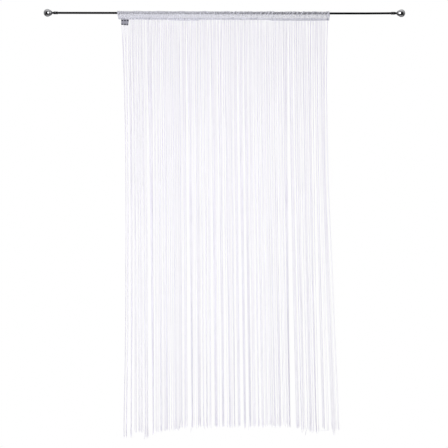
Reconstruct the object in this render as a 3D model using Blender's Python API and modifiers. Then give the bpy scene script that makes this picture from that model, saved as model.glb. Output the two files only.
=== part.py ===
"""String curtain on a rod: a sewn rod-pocket heading, a fringe of long strings and a sewn-in label.

Metres, +Z up. The origin is on the rod's axis, halfway along the rod. +X runs along the rod, to the right
of someone who faces the front, and the front of the curtain faces -Y.
"""
import math

import bmesh
import bpy

MM = 0.001
OBJECT_NAME = "string_curtain"
FIT_GAP = 0.3 * MM

# Rod and its turned ball ends
ROD_RADIUS = 5.0 * MM
BALL_RADIUS = 18.0 * MM
BALL_CENTRE_X = 838.5 * MM
SOCKET_DEPTH = 16.5 * MM
FINIAL_LENGTH = 48.0 * MM
TURN_STEPS = 28
BALL_POINTS = 13
# Angle on the ball, in degrees, left out where its neck's groove meets it
GROOVE_ANGLE = 3.0
SHARP_ANGLE = 40.0

# The finial's outer side from its mouth on the rod to the ball, both in mm:
# distance from the ball's centre towards the rod, and radius
FINIAL_SIDE = (
    (48.0, 6.0),
    (47.0, 6.8),
    (45.3, 7.3),
    (43.6, 6.8),
    (41.8, 6.1),
    (39.2, 6.1),
    (37.3, 6.8),
    (35.6, 7.3),
    (33.9, 6.8),
    (32.2, 6.2),
    (29.0, 6.0),
    (26.6, 4.9),
    (25.0, 4.5),
    (23.4, 5.0),
    (21.4, 7.0),
    (18.6, 10.2),
    (15.4, 12.6),
    (13.7, 13.1),
    (13.0, 12.3),
)

# Heading: one strip folded over the rod, its two layers sewn together over the strings' top edge
CLOTH = 1.0 * MM
POCKET_EASE = 0.6 * MM
PUCKER_RISE = 1.8 * MM
LEG_SWAY = 0.7 * MM
# Puckers along the heading: each wave's share of the rise, its turns along the heading, and its shift
PUCKERS = (
    {"share": 0.3, "turns": 9.7, "shift": 1.3},
    {"share": 0.2, "turns": 18.6, "shift": 0.4},
)
SEAM_TOP_Z = -24.0 * MM
HEADING_BOTTOM_Z = -31.0 * MM
HEADING_COLUMNS = 56
LEG_ROWS = 6
ARC_ROWS = 6
# The heading's cut ends, in mm: height, left end and right end
HEADING_ENDS = (
    {"z": 8.0, "left": -503.5, "right": 493.0},
    {"z": -6.0, "left": -503.0, "right": 495.0},
    {"z": -17.0, "left": -501.5, "right": 498.0},
    {"z": -31.0, "left": -498.5, "right": 496.5},
)

# Strings: one comb, whose tufts are ribbons between slits
STRING_THICKNESS = 2.0 * MM
COMB_TOP_Z = -27.0 * MM
COMB_BAND_Z = -34.0 * MM
TUFT_ROWS = 14
SLIT_START = 1.0 * MM
SLIT_FLARE = 0.8
END_JITTER = 4.0 * MM
# The hanging yarns' depth waves at the lower end: height of the wave in mm, radians per metre, and a shift
DEPTH_WAVES = (
    {"depth": 3.2, "per_metre": 21.0, "shift": 0.6},
    {"depth": 2.2, "per_metre": 47.0, "shift": 2.1},
)
# The fringe's outer edges, in mm: height, left edge and right edge
FRINGE_EDGES = (
    {"z": -27, "left": -493, "right": 492},
    {"z": -155, "left": -484, "right": 486},
    {"z": -383, "left": -475, "right": 481},
    {"z": -610, "left": -470, "right": 481},
    {"z": -838, "left": -469, "right": 487},
    {"z": -1065, "left": -468, "right": 498},
    {"z": -1293, "left": -469, "right": 510},
    {"z": -1520, "left": -471, "right": 522},
    {"z": -1748, "left": -475, "right": 533},
    {"z": -1975, "left": -480, "right": 543},
)
# The arch of the strings' ends, in mm: place along the lower edge and height
FRINGE_ENDS = (
    {"x": -480, "z": -2002},
    {"x": -375, "z": -2009},
    {"x": -335, "z": -1992},
    {"x": -270, "z": -1978},
    {"x": -190, "z": -1963},
    {"x": -120, "z": -1957},
    {"x": 340, "z": -1956},
    {"x": 390, "z": -1966},
    {"x": 450, "z": -1983},
    {"x": 543, "z": -1981},
)
# Each slit, in mm: its middle at the heading and at the fringe's end, its width there, and the height where
# the tufts on its two sides part
SLITS = (
    {"top": -473, "end": -453, "width": 8, "parts": -1030},
    {"top": -437, "end": -413, "width": 5, "parts": -1650},
    {"top": -409, "end": -380, "width": 5, "parts": -1750},
    {"top": -381, "end": -352, "width": 14, "parts": -400},
    {"top": -341, "end": -328, "width": 4, "parts": -1300},
    {"top": -301, "end": -285, "width": 3, "parts": -1500},
    {"top": -256, "end": -239, "width": 4, "parts": -1400},
    {"top": -206, "end": -195, "width": 6, "parts": -550},
    {"top": -190, "end": -167, "width": 15, "parts": -550},
    {"top": -156, "end": -137, "width": 12, "parts": -34},
    {"top": -126, "end": -105, "width": 5, "parts": -200},
    {"top": -112, "end": -91, "width": 8, "parts": -500},
    {"top": -96, "end": -74, "width": 7, "parts": -500},
    {"top": -79, "end": -55, "width": 10, "parts": -34},
    {"top": -43, "end": -18, "width": 7, "parts": -1500},
    {"top": -9, "end": 11, "width": 16, "parts": -34},
    {"top": 40, "end": 58, "width": 10, "parts": -1100},
    {"top": 62, "end": 86, "width": 9, "parts": -300},
    {"top": 89, "end": 112, "width": 11, "parts": -200},
    {"top": 136, "end": 154, "width": 11, "parts": -350},
    {"top": 153, "end": 171, "width": 6, "parts": -1200},
    {"top": 169, "end": 191, "width": 5, "parts": -400},
    {"top": 209, "end": 231, "width": 4, "parts": -1600},
    {"top": 255, "end": 275, "width": 4, "parts": -1500},
    {"top": 302, "end": 326, "width": 21, "parts": -350},
    {"top": 360, "end": 386, "width": 10, "parts": -200},
    {"top": 391, "end": 419, "width": 4, "parts": -1300},
    {"top": 421, "end": 454, "width": 14, "parts": -900},
    {"top": 456, "end": 496, "width": 5, "parts": -1650},
)

# Label, sewn under the left end of the heading
LABEL_LEFT_X = -489.0 * MM
LABEL_RIGHT_X = -453.0 * MM
LABEL_BOTTOM_Z = -60.0 * MM
LABEL_THICKNESS = 1.0 * MM
LABEL_SLANT = 5.0 * MM
LABEL_DROP = 2.5 * MM
LABEL_CURL = 2.0 * MM
LABEL_COLUMNS = 6
LABEL_ROWS = 4

MATERIALS = {
    "polished_steel": {"colour": (0.20, 0.20, 0.21), "roughness": 0.18, "metallic": 1.0},
    "chrome": {"colour": (0.55, 0.55, 0.56), "roughness": 0.08, "metallic": 1.0},
    "heading_cloth": {"colour": (0.64, 0.64, 0.71), "roughness": 0.75, "metallic": 0.0},
    "string_yarn": {"colour": (0.90, 0.89, 0.93), "roughness": 0.60, "metallic": 0.0},
    "label_cloth": {"colour": (0.09, 0.09, 0.12), "roughness": 0.80, "metallic": 0.0},
}


def clear_scene():
    """Remove every object that the file opened with."""
    for scene_object in list(bpy.data.objects):
        bpy.data.objects.remove(scene_object, do_unlink=True)


def make_material(name):
    """One Principled material from the table."""
    look = MATERIALS[name]
    material = bpy.data.materials.new(name)
    material.use_nodes = True
    shader = material.node_tree.nodes["Principled BSDF"]
    shader.inputs["Base Color"].default_value = (*look["colour"], 1.0)
    shader.inputs["Roughness"].default_value = look["roughness"]
    shader.inputs["Metallic"].default_value = look["metallic"]
    return material


def add_object(collection, name, mesh, material):
    """Put a mesh into the collection as a named object with one material."""
    piece = bpy.data.objects.new(name, mesh)
    if not mesh.materials:
        mesh.materials.append(material)
    collection.objects.link(piece)
    return piece


def smooth_step(t):
    """0 to 1 with level ends, for t held between 0 and 1."""
    t = min(max(t, 0.0), 1.0)
    return t * t * (3.0 - 2.0 * t)


def read_table(rows, key, column, place):
    """The column's value at a place along the key, in metres, straight between rows."""
    stations = sorted((row[key] * MM, row[column] * MM) for row in rows)
    if place <= stations[0][0]:
        return stations[0][1]
    for (low_place, low), (high_place, high) in zip(stations, stations[1:]):
        if place <= high_place:
            return low + (high - low) * (place - low_place) / (high_place - low_place)
    return stations[-1][1]


def sheet_mesh(name, columns, rows, place_point, drop_face=None):
    """A grid of columns and rows whose corners go where place_point(column, row) says."""
    shape = bmesh.new()
    bmesh.ops.create_grid(shape, x_segments=columns, y_segments=rows, size=0.5)
    if drop_face:
        extra = []
        for face in shape.faces:
            middle = face.calc_center_median()
            column = math.floor((middle.x + 0.5) * columns)
            row = math.floor((0.5 - middle.y) * rows)
            if drop_face(column, row):
                extra.append(face)
        bmesh.ops.delete(shape, geom=extra, context="FACES")
    for corner in shape.verts:
        column = round((corner.co.x + 0.5) * columns)
        row = round((0.5 - corner.co.y) * rows)
        corner.co = place_point(column, row)
    mesh = bpy.data.meshes.new(name)
    shape.to_mesh(mesh)
    shape.free()
    return mesh


def thicken(piece, thickness):
    """Give an open sheet its thickness, half on each side."""
    solidify = piece.modifiers.new("thickness", "SOLIDIFY")
    solidify.thickness = thickness
    solidify.offset = 0.0
    solidify.use_even_offset = True
    solidify.use_rim = True


def make_rod(collection, material):
    """The straight rod, which ends just short of each finial's socket floor."""
    half_length = BALL_CENTRE_X - (FINIAL_LENGTH - SOCKET_DEPTH) - FIT_GAP
    bpy.ops.mesh.primitive_cylinder_add(
        vertices=TURN_STEPS,
        radius=ROD_RADIUS,
        depth=2.0 * half_length,
        rotation=(0.0, math.pi / 2.0, 0.0),
    )
    rod = bpy.context.object
    rod.name = "rod"
    rod.data.materials.append(material)
    for owner in list(rod.users_collection):
        owner.objects.unlink(rod)
    collection.objects.link(rod)
    rod.data.shade_smooth()
    rod.data.set_sharp_from_angle(angle=math.radians(SHARP_ANGLE))


def finial_profile():
    """Half section of the finial: up the socket's wall, down the collar and neck, round the ball."""
    socket_radius = ROD_RADIUS + FIT_GAP
    socket_floor = FINIAL_LENGTH - SOCKET_DEPTH
    points = [(0.0, socket_floor), (socket_radius, socket_floor), (socket_radius, FINIAL_LENGTH)]
    points += [(radius * MM, along * MM) for along, radius in FINIAL_SIDE]
    shoulder = math.asin(FINIAL_SIDE[-1][0] * MM / BALL_RADIUS) - math.radians(GROOVE_ANGLE)
    for step in range(BALL_POINTS):
        angle = shoulder - step * (shoulder + math.pi / 2.0) / BALL_POINTS
        points.append((BALL_RADIUS * math.cos(angle), BALL_RADIUS * math.sin(angle)))
    points.append((0.0, -BALL_RADIUS))
    return points


def make_finials(collection, material):
    """Two turned ball ends that share one mesh, each slipped over an end of the rod."""
    points = finial_profile()
    mesh = bpy.data.meshes.new("finial")
    shape = bmesh.new()
    corners = [shape.verts.new((radius, 0.0, along)) for radius, along in points]
    for start, end in zip(corners, corners[1:]):
        shape.edges.new((start, end))
    shape.to_mesh(mesh)
    shape.free()
    for name, side in (("finial_left", -1.0), ("finial_right", 1.0)):
        finial = add_object(collection, name, mesh, material)
        finial.location = (side * BALL_CENTRE_X, 0.0, 0.0)
        finial.rotation_euler = (0.0, -side * math.pi / 2.0, 0.0)
        screw = finial.modifiers.new("turn", "SCREW")
        screw.steps = TURN_STEPS
        screw.render_steps = TURN_STEPS
        screw.use_merge_vertices = True
        screw.merge_threshold = 0.00001
        screw.use_smooth_shade = True
        weld = finial.modifiers.new("close_poles", "WELD")
        weld.merge_threshold = 0.00001


def heading_point(column, row):
    """A corner of the heading's middle surface: up the front, over the rod and down the back."""
    u = column / HEADING_COLUMNS
    pucker = sum(wave["share"] * math.sin(math.tau * wave["turns"] * u + wave["shift"]) for wave in PUCKERS)
    side_reach = ROD_RADIUS + POCKET_EASE + CLOTH / 2.0
    reach = side_reach + PUCKER_RISE * (0.5 + pucker)
    seam_half = STRING_THICKNESS / 2.0 + FIT_GAP + CLOTH / 2.0
    if LEG_ROWS <= row <= LEG_ROWS + ARC_ROWS:
        angle = math.pi * (row - LEG_ROWS) / ARC_ROWS
        y = -side_reach * math.cos(angle)
        z = reach * math.sin(angle)
    else:
        front = row < LEG_ROWS
        down = (LEG_ROWS - row if front else row - LEG_ROWS - ARC_ROWS) / LEG_ROWS
        z = HEADING_BOTTOM_Z * down
        closing = smooth_step(z / SEAM_TOP_Z)
        sway = LEG_SWAY * math.sin(math.pi * min(z / SEAM_TOP_Z, 1.0)) * (0.2 + pucker)
        half = side_reach + (seam_half - side_reach) * closing + sway
        y = -half if front else half
    left = read_table(HEADING_ENDS, "z", "left", z)
    right = read_table(HEADING_ENDS, "z", "right", z)
    return (left + (right - left) * u, y, z)


def make_heading(collection, material):
    """The rod pocket: one thin strip round the rod, open at both ends and along its sewn lower edge."""
    rows = 2 * LEG_ROWS + ARC_ROWS
    mesh = sheet_mesh("heading", HEADING_COLUMNS, rows, heading_point)
    heading = add_object(collection, "heading", mesh, material)
    thicken(heading, CLOTH)


def fringe_z(column, row):
    """Height of a comb corner: the two rows of the band, then even rows down to the tuft's own end."""
    if row == 0:
        return COMB_TOP_Z
    tuft = column // 2
    end = tuft_end_z(tuft)
    return COMB_BAND_Z + (end - COMB_BAND_Z) * (row - 1) / TUFT_ROWS


def tuft_end_z(tuft):
    """Where a tuft ends: on the fringe's arch, give or take a jitter of its own."""
    left_end = SLITS[tuft - 1]["end"] if tuft > 0 else FRINGE_EDGES[-1]["left"]
    right_end = SLITS[tuft]["end"] if tuft < len(SLITS) else FRINGE_EDGES[-1]["right"]
    arch = read_table(FRINGE_ENDS, "x", "z", (left_end + right_end) / 2.0 * MM)
    return arch + END_JITTER * math.sin(2.4 * tuft + 0.7)


def slit_middle(slit, z):
    """The middle of a slit at a height, which keeps its share of the fringe's width at that height."""
    top, end = FRINGE_EDGES[0], FRINGE_EDGES[-1]
    top_share = (slit["top"] - top["left"]) / (top["right"] - top["left"])
    end_share = (slit["end"] - end["left"]) / (end["right"] - end["left"])
    down = min(max((COMB_TOP_Z - z) / (COMB_TOP_Z - end["z"] * MM), 0.0), 1.0)
    share = top_share + (end_share - top_share) * down
    left = read_table(FRINGE_EDGES, "z", "left", z)
    right = read_table(FRINGE_EDGES, "z", "right", z)
    return left + (right - left) * share


def slit_half_width(slit, z):
    """Half the width of a slit at a height: narrow where its tufts part, and widest at the end."""
    down = (slit["parts"] * MM - z) / ((slit["parts"] - FRINGE_EDGES[-1]["z"]) * MM)
    opening = min(max(down, 0.0), 1.0) ** SLIT_FLARE
    return (SLIT_START + (slit["width"] * MM - SLIT_START) * opening) / 2.0


def fringe_x(column, z):
    """The edge of a tuft: columns 2k and 2k + 1 are the left and right edges of tuft k."""
    if column == 0:
        return read_table(FRINGE_EDGES, "z", "left", z)
    if column == 2 * len(SLITS) + 1:
        return read_table(FRINGE_EDGES, "z", "right", z)
    slit = SLITS[(column - 1) // 2]
    side = -1.0 if column % 2 else 1.0
    return slit_middle(slit, z) + side * slit_half_width(slit, z)


def fringe_point(column, row):
    """A corner of the comb's middle surface, with a shallow wave in depth that grows downwards."""
    z = fringe_z(column, row)
    x = fringe_x(column, z)
    down = max((COMB_BAND_Z - z) / (COMB_BAND_Z - FRINGE_EDGES[-1]["z"] * MM), 0.0)
    wave = sum(row["depth"] * MM * math.sin(row["per_metre"] * x + row["shift"]) for row in DEPTH_WAVES)
    return (x, down * wave, z)


def is_open_slit(column, row):
    """True for a face of the comb that lies in a slit, below the height where its tufts part."""
    if column % 2 == 0 or row == 0:
        return False
    parts = SLITS[column // 2]["parts"] * MM
    row_height = (COMB_BAND_Z - FRINGE_EDGES[-1]["z"] * MM) / TUFT_ROWS
    row_middle = COMB_BAND_Z - row_height * (row - 0.5)
    return row_middle <= parts


def make_strings(collection, material):
    """The fringe: a narrow band, caught in the heading's seam, and its long tufts, all one comb."""
    columns = 2 * len(SLITS) + 1
    mesh = sheet_mesh("strings", columns, 1 + TUFT_ROWS, fringe_point, is_open_slit)
    strings = add_object(collection, "strings", mesh, material)
    thicken(strings, STRING_THICKNESS)


def label_point(column, row):
    """A corner of the label: its right edge slants in and its lower edge drops and curls forward."""
    across = column / LABEL_COLUMNS
    down = row / LABEL_ROWS
    top_z = HEADING_BOTTOM_Z - FIT_GAP
    bottom_z = LABEL_BOTTOM_Z + LABEL_DROP * (1.0 - across)
    right_x = LABEL_RIGHT_X - LABEL_SLANT * down * down
    back_y = -(STRING_THICKNESS / 2.0 + FIT_GAP + LABEL_THICKNESS / 2.0)
    return (
        LABEL_LEFT_X + (right_x - LABEL_LEFT_X) * across,
        back_y - LABEL_CURL * down ** 2,
        top_z + (bottom_z - top_z) * down,
    )


def make_label(collection, material):
    """The small sewn-in label in front of the strings, under the heading's left end."""
    mesh = sheet_mesh("label", LABEL_COLUMNS, LABEL_ROWS, label_point)
    label = add_object(collection, "label", mesh, material)
    thicken(label, LABEL_THICKNESS)


def main():
    clear_scene()
    collection = bpy.data.collections.new(OBJECT_NAME)
    bpy.context.scene.collection.children.link(collection)
    materials = {name: make_material(name) for name in MATERIALS}
    make_rod(collection, materials["polished_steel"])
    make_finials(collection, materials["chrome"])
    make_heading(collection, materials["heading_cloth"])
    make_strings(collection, materials["string_yarn"])
    make_label(collection, materials["label_cloth"])


main()
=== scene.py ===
"""The finish of a string curtain on its rod: rod, ball ends, sewn heading, strings and label.

Metres, +Z up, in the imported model's frame: the origin is on the rod's axis, halfway along it, the rod runs
along X, and the front of the curtain faces -Y.
"""
import math
import random
from functools import partial

import bmesh
import bpy
from mathutils import Matrix, Vector, noise as field


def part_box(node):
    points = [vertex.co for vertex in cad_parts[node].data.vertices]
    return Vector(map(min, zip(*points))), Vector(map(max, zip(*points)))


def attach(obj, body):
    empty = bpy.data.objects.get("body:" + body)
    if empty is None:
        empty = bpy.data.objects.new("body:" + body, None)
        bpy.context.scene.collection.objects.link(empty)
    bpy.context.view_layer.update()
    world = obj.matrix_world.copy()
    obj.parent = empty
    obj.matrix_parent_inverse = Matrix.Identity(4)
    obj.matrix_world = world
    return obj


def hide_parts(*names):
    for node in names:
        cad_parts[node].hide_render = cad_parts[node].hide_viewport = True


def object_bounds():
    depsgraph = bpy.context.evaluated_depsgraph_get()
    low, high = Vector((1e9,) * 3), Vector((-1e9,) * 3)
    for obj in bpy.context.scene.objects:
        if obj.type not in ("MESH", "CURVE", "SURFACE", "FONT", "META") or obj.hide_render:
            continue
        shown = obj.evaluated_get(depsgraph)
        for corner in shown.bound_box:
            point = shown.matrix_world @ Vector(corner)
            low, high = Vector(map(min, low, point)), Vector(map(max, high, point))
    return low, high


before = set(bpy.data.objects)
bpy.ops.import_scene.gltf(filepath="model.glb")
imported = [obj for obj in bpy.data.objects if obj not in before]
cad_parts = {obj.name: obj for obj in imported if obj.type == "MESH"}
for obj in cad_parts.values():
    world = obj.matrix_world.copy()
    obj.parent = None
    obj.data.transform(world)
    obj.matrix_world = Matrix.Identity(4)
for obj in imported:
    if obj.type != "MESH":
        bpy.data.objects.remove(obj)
cad_low, cad_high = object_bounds()

MM = 0.001


def table(columns, *rows):
    """Rows of values under the names of their columns."""
    return [dict(zip(columns.split(), row)) for row in rows]


# Camera: the rod's share of the picture's width, and where the camera stands and tilts
ROD_SHARE = 0.807
LENS = 100.0
SENSOR = 36.0
VIEW_RIGHT = -1.0 * MM
VIEW_DROP = 3.3 * MM
ROLL = 0.0011

# Studio
FLOOR_DROP = 25.0 * MM
FLOOR_RADIUS = 14.0
FLOOR_STEPS = 64
AMBIENT = 0.68
WHITE = (1.0, 1.0, 1.0, 1.0)
BLACK = (0.0, 0.0, 0.0, 1.0)
# What the polished metal mirrors, from straight down to straight up: height from 0 to 1, and brightness
MIRRORED_ROOM = table(
    "height light",
    (0.00, 0.35), (0.15, 0.24), (0.35, 0.22), (0.50, 0.26), (0.70, 0.32), (0.85, 0.42),
    (1.00, 0.70),
)
# The dark of the room that the metal faces: how it leans back with height, how far forward it starts and
# is full, the light left in it, and the heights between which it ends; and the same for the corners at
# each side
DARK_TILT = -0.2
DARK_FRONT = {"starts": 0.45, "full": 0.62, "light": 0.05, "ends": (0.45, 0.80)}
DARK_CORNERS = {"starts": 0.50, "full": 0.68, "light": 0.25, "ends": (-0.50, -0.25)}
# Softboxes: place, the point each faces, width and height, power in watts, spread in degrees, and whether
# metal mirrors it
SOFTBOXES = table(
    "at to size power spread mirrored",
    ((-0.1, -1.1, -1.2), (0, 0, -1.2), (1.4, 2.6), 14.1, 170, False),
    ((-0.68, -0.26, 0.0), (-0.84, 0, 0), (0.21, 0.21), 0.06, 56, True),
    ((0.62, -0.2, 0.0), (0.84, 0, 0), (0.23, 0.23), 0.07, 56, True),
)

# Rod and ball ends
ROD_SIDES = 64
ROD_PARTS = 24
# How far the loaded rod sags, in mm
SAGS = table(
    "x sag",
    (-806, 0.0), (-520, 0.0), (-250, 0.35), (0, 0.75), (300, 1.0), (530, 1.2), (680, 1.0),
    (806, 0.0),
)
FINIAL_STEPS = 72
PROFILE_STEPS = 4
BALL_STEPS = 26
BALL_RADIUS = 18.0 * MM
SOCKET_DEPTH = 16.0 * MM
SOCKET_RADIUS = 5.2 * MM
# Groove where the ball meets its cup, as an angle on the ball
GROOVE_ANGLE = 3.0
# The ball end's outer side from its mouth on the rod to the ball, in mm: distance from the ball's centre
# and radius
FINIAL_SIDE = (
    (48.0, 6.0), (47.0, 6.8), (45.3, 7.3), (43.6, 6.8), (41.8, 6.1), (39.2, 6.1), (37.3, 6.8),
    (35.6, 7.3), (33.9, 6.8), (32.2, 6.2), (29.0, 6.0), (26.6, 4.9), (25.0, 4.5), (23.4, 5.0),
    (21.4, 7.0), (18.6, 10.0), (15.6, 12.7), (14.3, 13.3), (13.6, 13.2), (13.0, 12.3),
)
# Distances from the rod's middle between which the dark collar turns into the chrome cup
COLLAR_ENDS = (815.0 * MM, 821.0 * MM)
# Darker and paler colours of the steel and the chrome, the roughness of each where it is clean and
# smudged, and the range in which smudges show on the chrome
STEEL = ((0.05, 0.05, 0.055, 1.0), (0.09, 0.09, 0.095, 1.0))
CHROME = ((0.62, 0.62, 0.64, 1.0), (0.78, 0.78, 0.80, 1.0))
STEEL_ROUGHNESS = (0.12, 0.26)
CHROME_ROUGHNESS = (0.05, 0.16)
CHROME_SMUDGES = (0.35, 0.7)

# Heading: one strip up the front, over the rod and down the back
CLOTH = 0.5 * MM
ROD_RADIUS = 5.15 * MM
POCKET_EASE = 0.5 * MM
POCKET_HALF = ROD_RADIUS + POCKET_EASE
BILLOW = 0.5 * MM
SEAM_TOP_Z = -24.0 * MM
SEAM_HALF = 1.7 * MM
# The seam's edge begins a little above its top, and it and the end hems come in over a short distance
SEAM_START = 1.0 * MM
SOFT_EDGE = 1.5 * MM
END_HEM = 9.0 * MM
# The line of stitches: its height, how deep it pulls in, half widths of the groove and of its painted shade,
# how far the groove follows each stitch, and the painted shade's level, its change from patch to patch and a
# patch's length
STITCH_Z = -25.6 * MM
STITCH_GROOVE = 0.45 * MM
GROOVE_HALF = 0.9 * MM
GROOVE_BEAT = 0.4
LINE_HALF = 0.8 * MM
LINE_PAINTED_SHADE = 0.62
LINE_CHANGE = 0.5
LINE_PATCH = 9.0 * MM
# The lip of cloth that stands proud at the seam's top
LIP = 0.25 * MM
LIP_HALF = 1.4 * MM
HEADING_COLUMNS = 500
LEG_ROWS = 15
ARC_ROWS = 12
# The heading's cut ends, in mm: height, left end and right end
HEADING_ENDS = table(
    "z left right",
    (8.0, -507.5, 496.0), (-2.0, -508.0, 498.0), (-10.0, -505.5, 499.5), (-16.0, -504.5, 499.5),
    (-24.0, -503.0, 497.0), (-36.0, -499.0, 496.5),
)
# Nominal ends, between which the lower edge is placed, and the small wave of that edge
LEVEL_ENDS = (-500.0 * MM, 496.0 * MM)
EDGE_WAVE = 0.25 * MM
EDGE_RATE = 900.0
# Slow ripples along the heading: their level, and each one's size, rate and start
RIPPLE_LEVEL = 0.5
RIPPLES = table("size rate start", (0.3, 61.0, 1.3), (0.2, 118.0, 0.4))
# The cloth's stand above the rod: its share without ripples and its share for them; and the ripple at
# which the cloth below the rod is flat
RISE_LEVEL = 0.7
RISE_RIPPLE = 0.6
FLAT_RIPPLE = 0.3
# How far the cloth stands above the rod, in mm
RISES = table(
    "x rise",
    (-500, 3.4), (-300, 3.2), (0, 3.2), (500, 3.2),
)
# The heading's lower edge, in mm: place along the heading and height
HEM_EDGE = table(
    "x z",
    (-500, -30.5), (-440, -31.0), (-275, -32.0), (-235, -35.0), (-130, -35.5), (-112, -31.5),
    (205, -31.0), (224, -34.5), (420, -35.0), (497, -33.0),
)
# How much of what is behind it one layer of the cloth hides, and how much shade is painted on the gathered
# cloth, more toward the right end, from 0 to 1, by place in mm
COVER = table(
    "x cover shade",
    (-500, 0.61, 0.00), (-340, 0.61, 0.00), (-150, 0.55, 0.00), (-60, 0.50, 0.04), (10, 0.46, 0.09),
    (120, 0.41, 0.12), (300, 0.34, 0.18), (500, 0.31, 0.24),
)
# The most that the cloth hides, and how much of what is left each thicker part hides; the stitch line's
# share is also the shade painted on it, and the hems get a painted shade of their own
FULL_COVER = 0.97
HEM_COVER = 0.8
SEAM_COVER = 0.4
LINE_COVER = 0.8
HEM_PAINTED_SHADE = 0.25
# Share of the gathered cloth's painted shade that a full crease loses, which paints the crease lighter
CREASE_PAINTED_LIGHT = 0.7
# Creases that lean across the rod, in mm: place at the rod, sideways lean for each mm of height, how far
# the crease stands off, and its half width
CREASES = table(
    "x lean stand half",
    (-398, -0.2, 0.4, 3.0), (-366, 0.3, 0.5, 2.5), (-346, -0.5, 0.5, 2.0), (-322, 0.5, 0.5, 2.0),
    (-262, -0.3, 0.5, 2.5), (-222, -0.7, 0.5, 1.8), (-208, 0.2, 0.4, 2.5), (-150, 0.4, 0.6, 1.7),
    (-138, 0.5, 0.6, 1.7), (-115, 0.0, 1.0, 2.6), (-98, -0.2, 0.6, 1.9), (-79, -0.9, 0.9, 2.6),
    (-48, 0.2, 0.5, 2.9), (-22, -0.4, 0.6, 2.4), (-8, 0.5, 0.6, 2.4), (11, 0.3, 0.6, 1.9),
    (26, -0.4, 0.8, 2.0), (43, 1.0, 1.2, 2.4), (59, -0.3, 0.8, 1.9), (69, 0.9, 1.0, 2.2),
    (94, 0.2, 0.5, 1.9), (123, 0.3, 0.8, 2.2), (149, 0.4, 0.9, 2.3), (172, 0.4, 0.8, 2.2),
    (196, 0.8, 0.9, 1.9), (210, 0.8, 1.2, 2.3), (227, 0.4, 1.3, 2.6), (248, 0.3, 0.5, 1.9),
    (267, 0.4, 0.6, 2.0), (293, 1.0, 0.9, 1.9), (308, 0.7, 0.8, 1.7), (324, 1.1, 1.1, 2.2),
    (345, 0.7, 0.9, 1.9), (367, 0.9, 1.3, 2.4), (393, 0.5, 0.6, 2.2), (418, 1.2, 1.2, 2.3),
    (447, 1.0, 0.8, 2.0), (462, 1.1, 0.9, 1.9), (476, 1.0, 1.1, 2.1), (491, 0.4, 1.4, 2.6),
)
# Small tucks that the seam draws in, in mm: place, how far each reaches above the seam, half width, and
# depth of the shade painted in it from 0 to 1
TUCKS = table(
    "x rise half shade",
    (-473, 4.0, 3.0, 0.5), (-375, 7.0, 2.2, 0.8), (-356, 7.0, 3.2, 1.0), (-330, 3.0, 2.0, 0.5),
    (-292, 4.0, 3.0, 0.4), (-276, 8.0, 2.0, 0.5), (-190, 5.0, 2.4, 0.5), (-127, 3.0, 2.2, 0.4),
    (-84, 3.0, 2.4, 0.5), (-10, 3.0, 2.0, 0.4), (40, 6.0, 3.0, 0.9), (76, 5.0, 2.4, 0.6),
    (127, 7.0, 3.0, 1.0), (141, 6.0, 2.0, 1.0), (152, 6.0, 2.0, 0.8), (190, 3.0, 2.0, 0.4),
    (228, 7.0, 2.0, 0.5), (300, 3.0, 2.6, 0.4), (380, 7.0, 2.2, 0.6), (414, 8.0, 2.0, 0.6),
    (437, 7.0, 2.0, 0.5), (461, 6.0, 2.4, 0.6), (488, 5.0, 4.0, 1.0),
)
# Half widths past which creases and tucks are over, the share of its rise at which a tuck is over, and
# how far it sinks
CREASE_REACH = 4.0
TUCK_REACH = 3.0
TUCK_TOP = 1.2
TUCK_SINK = 0.4 * MM
# Stand of a crease that hides all behind it
FULL_CREASE = 1.2 * MM
# Size of the cloth's small puckers, along the heading and up it, and their share of the cover
PUCKERS = (5.0 * MM, 11.0 * MM)
PUCKER_SHARE = 0.3
# Colours of the clean cloth and of the cloth with painted shade, darker and paler, and the rates of its
# slubs along and across
CLEAN_CLOTH = ((0.77, 0.77, 0.855, 1.0), (0.88, 0.88, 0.965, 1.0))
PAINTED_SHADE_CLOTH = ((0.30, 0.30, 0.36, 1.0), (0.44, 0.44, 0.51, 1.0))
SLUBS = (40.0, 700.0, 1.0)
# Openness of the weave on its threads and between them
OPENNESS = (0.8, 1.5)
# Heights along the heading's section, from the rod's level, between which a crease fades out
CREASE_FADES = (-22.0 * MM, -9.0 * MM)

# Stitching along the seam
STITCH_PITCH = 3.3 * MM
STITCH_LENGTH = 2.4 * MM
STITCH_THREAD = 0.28 * MM
STITCH_STAND = 0.05 * MM
# Slow wave of the row, how far each stitch is off it, in mm, how far it turns, in radians, and its tone
SEAM_WAVE = 0.25 * MM
SEAM_RATE = 37.0
STITCH_JITTER = 0.1
STITCH_TURN = 0.1
STITCH_TONES = (0.8, 1.0)
# The thread's darker and paler colours, between which its painted ply shade and its tone blend
THREAD_COLOURS = ((0.34, 0.34, 0.40, 1.0), (0.55, 0.55, 0.63, 1.0))
THREAD_PLY = 1.2 * MM

# Strings
STRING_TOP_Z = -26.6 * MM
YARN_RADIUS = 0.81 * MM
# The yarn's darker and paler colours, between which its painted ply shade, its flecks and each string's tone
# blend
YARN_COLOURS = ((0.62, 0.605, 0.675, 1.0), (0.90, 0.88, 0.97, 1.0))
YARN_PLY = 5.0 * MM
# Roundness of a ply, and turns, rate and share of the fibres in its relief
PLY_ROUNDNESS = 0.6
FIBRE_TURNS = 7.0
FIBRE_RATE = 220.0
FIBRE_SHARE = 0.35
# Rates of the yarn's flecks round and along it, how far they are shifted from string to string, and the
# light and the roughness that they leave
FLECKS = (3.0, 90.0, 1.0)
FLECK_SHIFT = 7.0
FLECK_LIGHT = (0.85, 1.0)
FLECK_ROUGHNESS = (0.55, 0.7)
# Tint of the upper yarn, and the heights between which it comes in
UPPER_TINT = (1.0, 0.984, 1.03, 1.0)
TINT_HEIGHTS = (-1.1, -0.15)
STRING_SIDES = 5
STRING_PARTS = 17
LAST_PARTS = (0.972, 0.984, 0.993)
# How much looser a string is at its end, and the share of the way down at which it starts to be
END_FLARE = 0.35
FLARE_START = 0.96
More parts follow.
